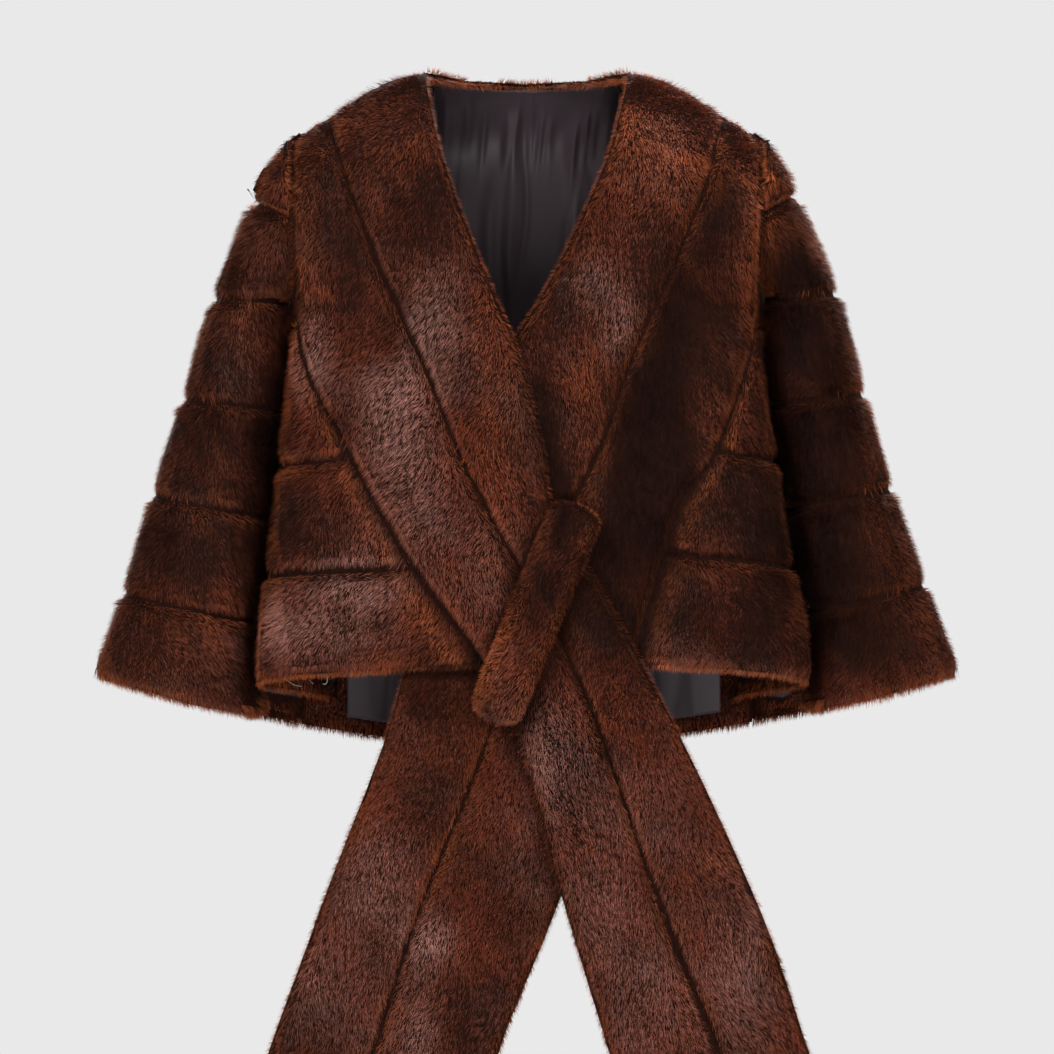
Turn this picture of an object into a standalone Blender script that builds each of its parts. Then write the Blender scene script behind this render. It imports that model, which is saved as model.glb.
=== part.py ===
"""A cropped fur cape with wide sleeves, a wrapped front, two long stole ends and a loop that holds them.

It is filled out as it hangs on a wearer. Metres, +Z up, the front towards -Y, and left and right as seen
from the front. The origin is on the shoulder line, midway between the two sides of the neck.
Every pelt is a curved wall, whose outer face is the reach of the fur and sinks at its seams.
"""

import math

import bmesh
import bpy
import numpy as np

MM = 0.001

# Pile, walls and seams
WALL = 12 * MM
SEAM_SINK = 8.5 * MM
SEAM_ROLL = 17 * MM
SEAM_GAP = 0.35 * MM
LAP = 14.2 * MM

# The wearer's outline in plan, at the front of the body
CENTRE_Y = -25 * MM
FRONT_DEPTH = 88 * MM
PLAN_POWER = 2.2
SHOULDER_ROLL = 85 * MM
SIDE_Z = np.array([-660, -600, -560, -470, -370, -260, -215]) * MM
SIDE_X = {
    "left": np.array([279, 280, 277, 265, 254, 242, 240]) * MM,
    "right": np.array([291, 292, 288, 272, 256, 241, 240]) * MM,
}

# The shoulder line from the neck outwards, and the neck between its two ends
NECK_X = 103 * MM
SHOULDER_X = np.array([103, 122, 159, 193, 215, 238, 251, 266, 276]) * MM
SHOULDER_Z = np.array([27, 22, 7, -14, -28, -44, -57, -76, -97]) * MM
BACK_NECK_Z = 22 * MM
BACK_NECK_RISE = 15 * MM

# The armhole, an upright ellipse at each side of the body
ARM_X = 238 * MM
ARM_Z = -131 * MM
ARM_HALF = 84 * MM
ARM_DEPTH = 56 * MM

# The stole ends leave the body here and hang straight
HANG_TOP = {"left": -0.50, "right": -0.605}
HANG_RUN = 0.20
HANG_EXTRA = 2 * MM

# One row for each section of a stole: its neckline edge, its middle seam and its outer edge, in mm
STOLE_COLUMNS = ("edge_x", "edge_z", "seam_x", "seam_z", "outer_x", "outer_z")
STOLE_LEFT = [
    (-103, 15, -203, -29, -238, -47),
    (-87, -60, -182, -88, -238, -115),
    (-57, -145, -149, -176, -238, -180),
    (-32, -206, -127, -222, -238.5, -230),
    (-9, -260, -105, -272, -224, -281),
    (17, -358, -66, -370, -176, -368),
    (24, -413, -39, -419, -146, -423),
    (56, -466, -7, -475, -115, -476),
    (105, -552, 42, -565, -39, -573),
    (152, -643, 79, -659, -6, -655),
    (206, -758, 118, -772, 25, -770),
    (245, -851, 149, -855, 48, -850),
    (282, -964, 192, -964, 83, -964),
    (347, -1144, 260, -1173, 154, -1208),
]
STOLE_RIGHT = [
    (103, 15, 203, -29, 238, -47),
    (82, -65, 182, -88, 238, -115),
    (45, -148, 149, -176, 238, -180),
    (13, -210, 127, -222, 238.5, -230),
    (-19, -262, 105, -272, 225, -278),
    (-51, -358, 69, -368, 191, -360),
    (-69, -412, 41, -417, 159, -402),
    (-86, -463, 15, -466, 138, -463),
    (-119, -565, -17, -565, 105, -573),
    (-143, -648, -41, -652, 83, -655),
    (-187, -765, -87, -767, 47, -768),
    (-218, -851, -119, -853, 16, -850),
    (-259, -964, -154, -964, -30, -964),
    (-317, -1142, -222, -1173, -108, -1210),
]
STOLE_END_ROW = len(STOLE_LEFT) - 1

# Side pelts: the stole rows where each starts and stops, and the heights of those seams at the back, in mm
SIDE_PELTS = [
    (3.1, 5.0, -222, -390),
    (5.0, 7.0, -390, -497),
    (7.0, 8.0, -497, -615),
]
SIDE_END_X = {"left": 200 * MM, "right": 214 * MM}
SIDE_START = 0.0028

# One row for each seam round the sleeves and the back, in mm and degrees. Level 0 is the shoulder and 6 the hem
CAPE_COLUMNS = ("level", "left_x", "left_z", "right_x", "right_z", "mid_y", "front", "left_inner_x",
                "right_inner_x", "end_angle", "back_y", "dip", "tilt")
CAPE = [
    (0.0, 247, -53, 247, -53, -25, 16, 238, 238, 125, 104, 0, 0),
    (0.3, 261, -69, 261, -69, -20, 45, 226, 226, 104, 106, 5, 0.2),
    (1.0, 282, -106, 278, -101, -5, 67, 216, 216, 106, 108, 20, 0.6),
    (2.0, 323, -204, 319, -199, 20, 72, 240, 240, 163, 112, 18, 0),
    (3.0, 355, -305, 348, -300, 32, 74, 243, 249, 178, 113, 27, 0),
    (4.0, 386, -402, 376, -396, 35, 75, 254, 264, 180, 113, 46, 0),
    (5.0, 416, -501, 410, -493, 35, 76, 271, 283, 180, 111, 57, 0),
    (6.0, 444, -584, 443, -582, 35, 77, 279, 293, 180, 109, 80, 0),
]
CAPE_POWER = 2.6
DIP_POWER = 1.8
BACK_SEAM_X = 230 * MM
BACK_BLEND = 260 * MM
ROWS = 6

# The lining inside the back
LINING_GAP = 4.8 * MM
LINING_SEAM_GAP = 2.9 * MM
LINING_WALL = 1.3 * MM
LINING_TOP_X = 96 * MM
LINING_X = {"left": 186 * MM, "right": 200 * MM}
LINING_BOTTOM_LEVEL = 5.86

# The loop at the waist, from its top on the right front to its bottom end
LOOP_TOP = (53 * MM, -412 * MM)
LOOP_BOTTOM = (-35 * MM, -629 * MM)
LOOP_WIDTH = 61 * MM
LOOP_THICK = 21 * MM
LOOP_POWER = 2.6
LOOP_CLEAR = 0.6 * MM
LOOP_STATIONS = 18
LOOP_SIDES = 16

# Where each wall's grid has its lines, closer together near the seams
ACROSS_STOLE = (0, 0.07, 0.22, 0.5, 0.78, 0.93, 1)
DOWN_ROW = (0, 0.08, 0.26, 0.5, 0.74, 0.92, 1)
ACROSS_SIDE = (0, 0.05, 0.16, 0.28, 0.4, 0.5, 0.58, 0.66, 0.76, 0.88, 0.96, 1)
ACROSS_SLEEVE = (0, 0.04, 0.11, 0.2, 0.29, 0.37, 0.44, 0.5, 0.56, 0.64, 0.73, 0.83, 0.92, 1)
ACROSS_BACK = (0, 0.03, 0.1, 0.2, 0.276, 0.36, 0.5, 0.64, 0.724, 0.8, 0.9, 0.97, 1)
STOLE_STEPS = 34


def smooth(knots, values, at):
    """A cubic curve through values at the knots, read at each number in at."""
    knots = np.asarray(knots, float)
    values = np.asarray(values, float)
    at = np.clip(at, knots[0], knots[-1])
    slopes = np.gradient(values, knots)
    i = np.clip(np.searchsorted(knots, at, side="right") - 1, 0, len(knots) - 2)
    run = knots[i + 1] - knots[i]
    s = (at - knots[i]) / run
    start = (1 + 2 * s) * (1 - s) ** 2 * values[i] + s * (1 - s) ** 2 * run * slopes[i]
    return start + s * s * (3 - 2 * s) * values[i + 1] - s * s * (1 - s) * run * slopes[i + 1]


def ease(share):
    """0 below 0, 1 above 1 and a soft step between."""
    share = np.clip(share, 0, 1)
    return share * share * (3 - 2 * share)


def round_over(share):
    """A quarter circle: 0 at 0, level at 1 and past it."""
    share = np.clip(share, 0, 1)
    return np.sqrt(1 - (1 - share) ** 2)


def bow(share, power):
    """The depth of a superellipse at this share of its half width."""
    return (1 - np.clip(np.abs(share), 0, 1) ** power) ** (1 / power)


def ridge_z(x):
    """The height at which the front and back would meet: the shoulder line, bowed up over the neck."""
    x = np.abs(x)
    over_neck = BACK_NECK_RISE * np.clip(1 - (x / NECK_X) ** 2, 0, 1) ** 1.5
    return smooth(SHOULDER_X, SHOULDER_Z, x) + over_neck


def top_z(x):
    """The top edge of the back: the shoulder line, and the back of the neck between its ends."""
    inside = np.clip(1 - (x / NECK_X) ** 2, 0, 1)
    return smooth(SHOULDER_X, SHOULDER_Z, np.abs(x)) - (SHOULDER_Z[0] - BACK_NECK_Z) * inside


def body_half_width(x, z):
    """Half the width of the body's outline in plan. Above the underarm it runs on past the armhole."""
    level = np.minimum(z, SHOULDER_Z[5] - 3 * MM)
    arm = ARM_DEPTH * np.sqrt(np.clip(1 - ((level - ARM_Z) / ARM_HALF) ** 2, 0, 1))
    full = FRONT_DEPTH * round_over((SHOULDER_Z[5] - level) / SHOULDER_ROLL)
    share = np.clip(arm / full, 0, 0.95)
    past_armhole = ARM_X / (1 - share**PLAN_POWER) ** (1 / PLAN_POWER)
    side_x = np.where(x < 0, smooth(SIDE_Z, SIDE_X["left"], z), smooth(SIDE_Z, SIDE_X["right"], z))
    return np.where(level > ARM_Z - ARM_HALF, past_armhole, side_x)


def front_y(x, z, hang_top=-9.0):
    """The front of the body at the fur's reach. Below hang_top it passes into the plane of the stole ends."""
    across = bow(x / body_half_width(x, z), PLAN_POWER)
    depth = FRONT_DEPTH * across * round_over((ridge_z(x) - z) / SHOULDER_ROLL)
    hang = ease((hang_top - z) / HANG_RUN)
    return CENTRE_Y - depth * (1 - hang) - (FRONT_DEPTH + HANG_EXTRA) * hang


def lap_over(x, z):
    """How far the left front stands out where it lies over the right one."""
    hidden_edge = -0.019 + 0.33 * (z + 0.262)
    return LAP * ease((x - hidden_edge + 0.090) / 0.075) * ease((-0.14 - z) / 0.10)


def stole_row(q):
    """Table rows at even steps of length. The first is stretched, because the shoulder rounds over there."""
    return np.where(q < 1, q * q / 2, q - 0.5)


def stole_edges(side, row):
    """The x and z of a stole's neckline edge, middle seam and outer edge at a table row."""
    table = np.array(STOLE_LEFT if side == "left" else STOLE_RIGHT) * MM
    return [smooth(np.arange(len(table)), table[:, k], row) for k in range(len(STOLE_COLUMNS))]


def stole_point(side, strip):
    """The surface of a stole strip: u across it from the neckline side, v down it."""

    def point(u, v):
        row = stole_row(v * (STOLE_END_ROW + 0.5))
        edge_x, edge_z, seam_x, seam_z, outer_x, outer_z = stole_edges(side, row)
        if strip == "inner":
            x, z = edge_x + (seam_x - edge_x) * u, edge_z + (seam_z - edge_z) * u
        else:
            x, z = seam_x + (outer_x - seam_x) * u, seam_z + (outer_z - seam_z) * u
        z = z + (ridge_z(x) - z) * np.clip(1 - row, 0, 1) ** 6
        y = front_y(x, z, HANG_TOP[side]) - (lap_over(x, z) if side == "left" else 0)
        return np.stack([x, y, z], -1)

    return point


def cape_row(side, level):
    """The cape table's columns at a level, in metres, degrees and plain numbers."""
    table = np.array(CAPE, float)
    found = {name: smooth(table[:, 0], table[:, k], level) for k, name in enumerate(CAPE_COLUMNS)}
    for name in CAPE_COLUMNS[1:]:
        if name not in ("end_angle", "tilt"):
            found[name] = found[name] * MM
    return found, found[side + "_x"], found[side + "_z"]


def cape_z(side, level, x, is_front=False):
    """The height of the level line at x. It dips towards the middle of the back."""
    row, outer_x, outer_z = cape_row(side, level)
    dip = row["dip"] * (1 - np.clip(np.abs(x) / outer_x, 0, 1) ** DIP_POWER)
    shoulder = top_z(np.minimum(np.abs(x), CAPE[0][1] * MM)) - CAPE[0][2] * MM
    slope = row["tilt"] * (outer_x - np.abs(x)) * is_front
    return outer_z - dip - slope + shoulder * np.clip(1 - level, 0, 1)


def back_point(x, level):
    """The back of the body and of the sleeves at the fur's reach."""
    to_right = ease(x / BACK_BLEND + 0.5)[..., None]
    points = []
    for side in ("left", "right"):
        row, outer_x, _ = cape_row(side, level)
        z = cape_z(side, level, x)
        rolled = round_over((ridge_z(x) - z) / SHOULDER_ROLL)
        y = row["mid_y"] + (row["back_y"] - row["mid_y"]) * bow(x / outer_x, CAPE_POWER) * rolled
        points.append(np.stack([x, y, z], -1))
    return points[0] * (1 - to_right) + points[1] * to_right


def back_y_at(x, z):
    """The back's y at a place given by its height."""
    levels = np.linspace(0, ROWS, 121)
    line = back_point(np.full(levels.shape, x), levels)
    return np.interp(z, line[::-1, 2], line[::-1, 1])


def back_row_point(first, last):
    """The surface of a row of the back: u from left to right, v down it."""

    def point(u, v):
        share = 0.0002 + 0.9998 * v * v if first == 0 else v
        return back_point((2 * u - 1) * BACK_SEAM_X, first + (last - first) * share)

    return point


def sleeve_point(side, first, last):
    """The surface of a row of a sleeve: u from its front edge round the arm to the back seam, v down it."""
    sign = -1 if side == "left" else 1

    def point(u, v):
        share = 0.965 * v * v if first == 0 else v
        level = first + (last - first) * share + u * 0
        row, outer_x, _ = cape_row(side, level)
        angle = np.radians(row["end_angle"]) * np.clip(1 - 2 * u, 0, 1)
        inner_x = row[side + "_inner_x"]
        middle, half = (outer_x + inner_x) / 2, (outer_x - inner_x) / 2
        front_x = sign * (middle + half * np.cos(angle))
        front = np.stack(
            [front_x, row["mid_y"] - row["front"] * np.sin(angle), cape_z(side, level, front_x, True)], -1
        )
        seam_angle = np.arcsin(np.clip(BACK_SEAM_X / outer_x, 0, 1) ** (CAPE_POWER / 2))
        turn = math.pi / 2 + (seam_angle - math.pi / 2) * np.clip(2 * u - 1, 0, 1)
        back = back_point(sign * outer_x * np.sin(turn) ** (2 / CAPE_POWER), level)
        return np.where((u < 0.5)[..., None], front, back)

    return point


def side_point(side, first_row, last_row, first_z, last_z):
    """The surface of a side pelt: u from the stole's outer edge round under the arm, v down it."""
    sign = -1 if side == "left" else 1
    end_x = SIDE_END_X[side]

    def point(u, v):
        u = SIDE_START + (1 - SIDE_START) * u
        edges = stole_edges(side, first_row + (last_row - first_row) * v)
        start_x, start_z = edges[4], edges[5]
        width = body_half_width(start_x, start_z)
        start = np.arcsin(np.clip(np.abs(start_x) / width, 0, 1) ** (PLAN_POWER / 2)) / (math.pi / 2)
        end_z = (first_z + (last_z - first_z) * v) * MM
        turn = np.where(sign * start_x > 0, start, -start)
        turn = turn + (2 - turn) * u
        z = start_z + (end_z - start_z) * u
        width = body_half_width(sign + z * 0, z)
        front_angle = np.clip(turn, -1, 1) * math.pi / 2
        front_x = sign * width * np.sign(front_angle) * np.abs(np.sin(front_angle)) ** (2 / PLAN_POWER)
        front = front_y(front_x, z)
        if side == "left":
            front = front - lap_over(front_x, z)
        under_angle = np.clip(turn - 1, 0, 1) * math.pi / 2
        under_x = sign * (end_x + (width - end_x) * np.cos(under_angle) ** 2)
        end_y = back_y_at(sign * end_x, z) - WALL - SEAM_GAP - 0.3 * MM
        under = CENTRE_Y + (end_y - CENTRE_Y) * np.sin(under_angle)
        at_front = turn < 1
        return np.stack([np.where(at_front, front_x, under_x), np.where(at_front, front, under), z], -1)

    return point


def lining_point(u, v):
    """The back surface that the lining follows, narrow at the neck and wide between the sides."""
    level = LINING_BOTTOM_LEVEL * (0.0004 + 0.9996 * v * v * (1.6 - 0.6 * v))
    half = np.where(u < 0.5, LINING_X["left"], LINING_X["right"])
    half = LINING_TOP_X + (half - LINING_TOP_X) * ease(level / 1.2)
    return back_point((2 * u - 1) * half, level)


def normals_of(point, u, v, inside):
    """Unit normals of a surface, on the side away from the point inside."""
    step = 1e-4
    u0, u1 = np.clip(u - step, 0, 1), np.clip(u + step, 0, 1)
    v0, v1 = np.clip(v - step, 0, 1), np.clip(v + step, 0, 1)
    normal = np.cross(point(u1, v) - point(u0, v), point(u, v1) - point(u, v0))
    normal /= np.maximum(np.linalg.norm(normal, axis=-1, keepdims=True), 1e-12)
    middle = normal.shape[0] // 2, normal.shape[1] // 2
    away = point(u, v)[middle] - np.array(inside)
    return normal if np.dot(normal[middle], away) > 0 else -normal


def edge_share(points):
    """1 in the middle of a grid and 0 along its edges, rounded over SEAM_ROLL from each."""
    share = np.ones(points.shape[:2])
    for axis in (0, 1):
        steps = np.linalg.norm(np.diff(points, axis=axis), axis=-1)
        pad = [(0, 0), (0, 0)]
        pad[axis] = (1, 0)
        along = np.pad(np.cumsum(steps, axis=axis), pad)
        total = np.take(along, [-1], axis=axis)
        share = share * round_over(along / SEAM_ROLL) * round_over((total - along) / SEAM_ROLL)
    return share


def inset(fractions, length):
    """Grid fractions drawn in by SEAM_GAP at both ends of a run of this length."""
    edge = SEAM_GAP / length
    return edge + np.array(fractions) * (1 - 2 * edge)


def grid_object(name, outer, inner):
    """A closed wall between two grids of points."""
    columns, rows = outer.shape[:2]
    mesh = bmesh.new()
    near = [[mesh.verts.new(outer[i, j]) for j in range(rows)] for i in range(columns)]
    far = [[mesh.verts.new(inner[i, j]) for j in range(rows)] for i in range(columns)]
    for i in range(columns - 1):
        for j in range(rows - 1):
            mesh.faces.new((near[i][j], near[i + 1][j], near[i + 1][j + 1], near[i][j + 1]))
            mesh.faces.new((far[i][j], far[i][j + 1], far[i + 1][j + 1], far[i + 1][j]))
    for i in range(columns - 1):
        mesh.faces.new((near[i][0], far[i][0], far[i + 1][0], near[i + 1][0]))
        mesh.faces.new((near[i][-1], near[i + 1][-1], far[i + 1][-1], far[i][-1]))
    for j in range(rows - 1):
        mesh.faces.new((near[0][j], near[0][j + 1], far[0][j + 1], far[0][j]))
        mesh.faces.new((near[-1][j], far[-1][j], far[-1][j + 1], near[-1][j + 1]))
    return finished(name, mesh)


def finished(name, mesh):
    """Turns a bmesh into a named object with its faces pointing out."""
    bmesh.ops.recalc_face_normals(mesh, faces=mesh.faces)
    bmesh.ops.triangulate(mesh, faces=mesh.faces)
    data = bpy.data.meshes.new(name)
    mesh.to_mesh(data)
    mesh.free()
    data.shade_smooth()
    thing = bpy.data.objects.new(name, data)
    bpy.context.scene.collection.objects.link(thing)
    return thing


def wall(name, point, across, down, inside, material, start=0.0, depth=WALL, sink=SEAM_SINK):
    """Builds a pelt or the lining. across and down are grid fractions, and the face sinks at its edges."""
    corner = point(np.array([[0.0, 1.0], [0.5, 0.5]]), np.array([[0.5, 0.5], [0.02, 0.98]]))
    width = np.linalg.norm(corner[0, 1] - corner[0, 0])
    height = np.linalg.norm(corner[1, 1] - corner[1, 0])
    u, v = np.meshgrid(inset(across, width), inset(down, height), indexing="ij")
    points = point(u, v)
    normals = normals_of(point, u, v, inside)
    share = edge_share(points)
    outer = points - normals * (start + sink * (1 - share))[..., None]
    inner = points - normals * (start + depth + 0 * share)[..., None]
    thing = grid_object(name, outer, inner)
    thing.data.materials.append(material)
    return thing


def material_named(name, colour, roughness, metallic=0.0):
    """A Principled material in this colour."""
    found = bpy.data.materials.new(name)
    found.use_nodes = True
    shader = found.node_tree.nodes["Principled BSDF"]
    shader.inputs["Base Color"].default_value = (*colour, 1)
    shader.inputs["Roughness"].default_value = roughness
    shader.inputs["Metallic"].default_value = metallic
    found.diffuse_color = (*colour, 1)
    return found


def build_stoles(fur):
    """The four strips that run from the shoulders down the fronts to the two free ends."""
    down = np.linspace(0, 1, STOLE_STEPS + 1)
    down = np.concatenate([[0, 0.006], down[1:-1], [0.994, 1]])
    for side in ("left", "right"):
        for strip in ("inner", "outer"):
            wall(f"stole_{side}_{strip}", stole_point(side, strip), ACROSS_STOLE, down, (0, 0, -0.4), fur)


def build_sides(fur):
    """The three pelts each side that run from the stole round under the arm."""
    for side in ("left", "right"):
        for number, row in enumerate(SIDE_PELTS, 1):
            wall(f"side_{side}_{number}", side_point(side, *row), ACROSS_SIDE, DOWN_ROW, (0, 0, -0.4), fur)


def build_sleeves(fur):
    """Six rows of each sleeve. The top one thins towards the shoulder, where it is narrow."""
    for side, sign in (("left", -1), ("right", 1)):
        for number in range(ROWS):
            depth = WALL
            if number == 0:
                depth = np.interp(np.array(DOWN_ROW), [0, 0.5], [4 * MM, WALL])[None, :]
            inside = (sign * 0.30, 0.03, -0.3)
            if number == 0:
                inside = (sign * 0.22, 0, -0.13)
            sink = SEAM_SINK if number else 3 * MM
            wall(
                f"sleeve_{side}_{number}", sleeve_point(side, number, number + 1), ACROSS_SLEEVE, DOWN_ROW,
                inside, fur, depth=depth, sink=sink,
            )


def build_back(fur, cloth):
    """Six rows of the back, and the lining inside them."""
    for number in range(ROWS):
        wall(f"back_{number}", back_row_point(number, number + 1), ACROSS_BACK, DOWN_ROW, (0, 0, -0.4), fur)
    down = np.linspace(0, 1, 13)
    gap = np.where(down > 0, LINING_GAP, LINING_SEAM_GAP)[None, :] + WALL
    wall(
        "back_lining", lining_point, np.linspace(0, 1, 13), down, (0, 0, -0.4), cloth,
        start=gap, depth=LINING_WALL, sink=0.0,
    )


def build_loop(fur):
    """A flat padded strip that crosses both fronts at the waist and holds the stole ends."""
    top, bottom = np.array(LOOP_TOP), np.array(LOOP_BOTTOM)
    length = np.linalg.norm(bottom - top)
    along = (bottom - top) / length
    across = np.array([along[1], -along[0]])
    mesh = bmesh.new()
    rings = []
    for i in range(LOOP_STATIONS + 1):
        share = i / LOOP_STATIONS
        s = length * (1 - math.cos(math.pi * share)) / 2
        end = round_over(min(s, length - s) / (0.24 * LOOP_WIDTH)) * 0.9 + 0.1
        x, z = top + along * s
        lift = LAP * ease(0.5 + s / (0.2 * length))
        thick = LOOP_THICK * (0.35 + 0.65 * end)
        y = front_y(x, z, HANG_TOP["left"]) - lift - LOOP_CLEAR - LOOP_THICK / 2
        ring = []
        for k in range(LOOP_SIDES):
            angle = 2 * math.pi * k / LOOP_SIDES
            c, d = math.cos(angle), math.sin(angle)
            wide = LOOP_WIDTH / 2 * end * np.sign(c) * abs(c) ** (2 / LOOP_POWER)
            proud = thick / 2 * np.sign(d) * abs(d) ** (2 / LOOP_POWER)
            ring.append(mesh.verts.new((x + across[0] * wide, y + proud, z + across[1] * wide)))
        rings.append(ring)
    for near, far in zip(rings, rings[1:]):
        for k in range(LOOP_SIDES):
            after = (k + 1) % LOOP_SIDES
            mesh.faces.new((near[k], near[after], far[after], far[k]))
    mesh.faces.new(rings[0])
    mesh.faces.new(rings[-1])
    thing = finished("waist_loop", mesh)
    thing.data.materials.append(fur)


def main():
    for thing in list(bpy.data.objects):
        bpy.data.objects.remove(thing)
    fur = material_named("fur", (0.13, 0.045, 0.022), 0.75)
    cloth = material_named("lining", (0.055, 0.045, 0.05), 0.45)
    build_stoles(fur)
    build_sides(fur)
    build_sleeves(fur)
    build_back(fur, cloth)
    build_loop(fur)


main()
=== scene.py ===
"""The fur cape's looks: strands of fur on every pelt, the creased lining, the hook, light and camera.

Metres, the front towards -Y. Each pelt's node becomes an undercoat, which lies inside the node, and strands
that are rooted near its skin and reach out to the node's outer face.
"""

import math

import bpy
import numpy as np
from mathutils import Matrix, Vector
from mathutils.bvhtree import BVHTree

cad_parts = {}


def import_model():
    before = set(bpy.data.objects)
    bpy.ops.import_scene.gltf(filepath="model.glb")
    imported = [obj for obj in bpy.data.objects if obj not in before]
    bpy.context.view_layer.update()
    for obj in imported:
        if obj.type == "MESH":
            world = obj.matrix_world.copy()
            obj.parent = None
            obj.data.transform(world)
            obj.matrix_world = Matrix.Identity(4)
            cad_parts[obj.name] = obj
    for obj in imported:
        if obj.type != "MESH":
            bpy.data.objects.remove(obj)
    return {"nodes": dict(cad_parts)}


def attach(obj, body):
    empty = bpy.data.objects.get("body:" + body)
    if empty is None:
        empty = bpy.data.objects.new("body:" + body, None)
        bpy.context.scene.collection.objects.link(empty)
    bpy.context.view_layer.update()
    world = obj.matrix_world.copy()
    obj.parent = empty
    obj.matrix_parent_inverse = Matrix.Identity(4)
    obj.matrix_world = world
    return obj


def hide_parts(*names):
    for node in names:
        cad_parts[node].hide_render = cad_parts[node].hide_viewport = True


SEED = 20

# Camera: the photo's frame is 1.054 m wide where the front of the cape is
LENS_MM = 200
SENSOR_MM = 36
FRAME_WIDTH = 1.054
PLANE_Y = -0.06
CENTRE_Z = -0.437

# The pelts' walls, where the strands' roots and the undercoat's surface lie in them, and how far the
# undercoats' rims reach out
WALL = 0.012
DEEPEST_WALL = 0.016
WALL_REACH = 0.030
SKIN = 0.0025
SEAM_DEPTH = 0.0035
UNDERCOAT = 0.50
UNDERCOAT_SPREAD = 1.4
SEAM_CLOSING = 0.0005

# Rays start this far off a surface, and a triangle with no wall behind it within RIM_WALL is a rim
RAY_START = 0.0003
RIM_START = 0.0002
RIM_WALL = 0.018
RIM_REACH = 0.009

# The strands' sizes
STRAND_LENGTH = 0.0145
STRAND_WIDTH = 0.00066
THINNEST_PILE = 0.0008
SEAM_LIFT = 0.0042
LENGTH_SHARES = (0.75, 1.06)
SEAM_LENGTH = 0.62
WIDTH_SHARES = (0.70, 1.25)
HEIGHT_SHARE = 0.92
HEIGHT_SPREAD = 0.11
HEIGHT_LIMITS = (0.5, 1.12)
RISE_LIMITS = (0.7, 1.2)
LEAST_LIE = 0.30

# How the strands turn: over the pelt, in tufts, and each on its own
SWIRL = 0.22
TUFT_SWIRL = 0.07
STRAY = 0.13
TWIST = 0.5
LEAN_RISE = 0.10
TUFT_RISE = 0.06
LIGHT_STRAY = 0.20
LIGHT_TO_SKIN = 0.30

# The fuzz on edges that no neighbour covers
EDGE_FUZZ = 0.0050
SLEEVE_FUZZ = 0.007
EDGE_ROOT = 0.003
EDGE_SHARES = (0.45, 1)
EDGE_LIE = 0.6

# How dense the fur is where it faces the front, the side and the back, and how many strands there are
FACING_STEPS = (-0.4, 0.0, 0.5)
BACK_DENSITY = 0.30
SIDE_DENSITY = 0.55
FRONT_DENSITY = 1.0
EDGE_DENSITY = 3.0
TAIL_BACK_DENSITY = 0.24
MOST_WIDENING = 3
ALL_STRANDS = 820000
MOST_STRANDS = 190000

# Where fur is turned in: on the free ends below TAIL_TOP, at the hems, at the neck and beside the lining
TAIL_TOP = -0.60
TAIL_BLEND = 0.03
HEM_FACING = 0.022
NECK_FACING = 0.014
NECK_HALF = 0.105
LINING_HALF = 0.178
HEM_PELTS = ("back_5", "side_left_3", "side_right_3", "sleeve_left_5", "sleeve_right_5")
COLUMN_EDGES = 25

# The sleeves' front edges are moved to lie this far behind the body's side
SLEEVE_TUCK = 0.011
MOST_TUCK = 0.024
TUCK_WIDTH = 0.045
TUCK_BLEND = 0.02
TUCK_STEP = 0.02
TUCK_WINDOW = 0.03

# The lining's grid and creases
LINING_COLUMNS = 190
LINING_ROWS = 125
LINING_SMOOTHING = 30
LINING_MARGIN = 0.0004
LINING_PROBE = 0.0008
LINING_THICKNESS = 0.0011
CREASE_HEIGHT = 0.0036
FOLDS = 26
PUCKERS = 40
HEM_RIPPLES = 22

# Linear colours
DARK_BROWN = (0.007, 0.0022, 0.0017)
RED_BROWN = (0.158, 0.0325, 0.0145)
# Orange of the painted rim light on the fur's edges and sides
ORANGE_RIM_LIGHT = (0.385, 0.095, 0.027)
# Rose-grey of the painted sheen and of the pale guard hairs
ROSE_GREY_SHEEN_AND_GUARD = (0.52, 0.265, 0.215)
UNDERCOAT_BROWN = (0.013, 0.0034, 0.0018)
LINING_COLOUR = (0.0275, 0.0194, 0.0231)
# A darker copy of the lining cloth for the pelts' inner faces: painted shade
PELT_LINING_SHADE = 0.55
BACKGROUND = (0.815, 0.815, 0.815)
AMBIENT = (0.36, 0.36, 0.36)

# Shares in the strands' colours, with their painted light and shade
ROOT_SHADE = 0.30
TONE = 0.55
TONE_SPREAD = 0.17
WARMTH = 0.72
SHINE = 0.75
SHINE_SPREAD = 0.11
GUARD_SHARE = 0.045
GUARD_SHINE = 0.30
PATCH_SHADE_DEPTH = 0.42
PAINTED_LIGHT_WARMTH = 0.42
PAINTED_LIGHT_GAIN = 0.65
EDGE_PAINTED_LIGHT = 1.35
STRAND_LIGHTS = (0.60, 1.36)

# Painted shade: how light the fur's colour is at each share of open half space over it, told by short rays
OPEN_STEPS = (0.25, 0.65, 0.97)
PAINTED_OCCLUSION_SHADE = (0.10, 0.48, 1.0)
SHADE_RAYS = 18
SHADE_REACH = 0.030
SHADE_LIFT = 0.001
SHADE_TILT = 1.02
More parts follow.
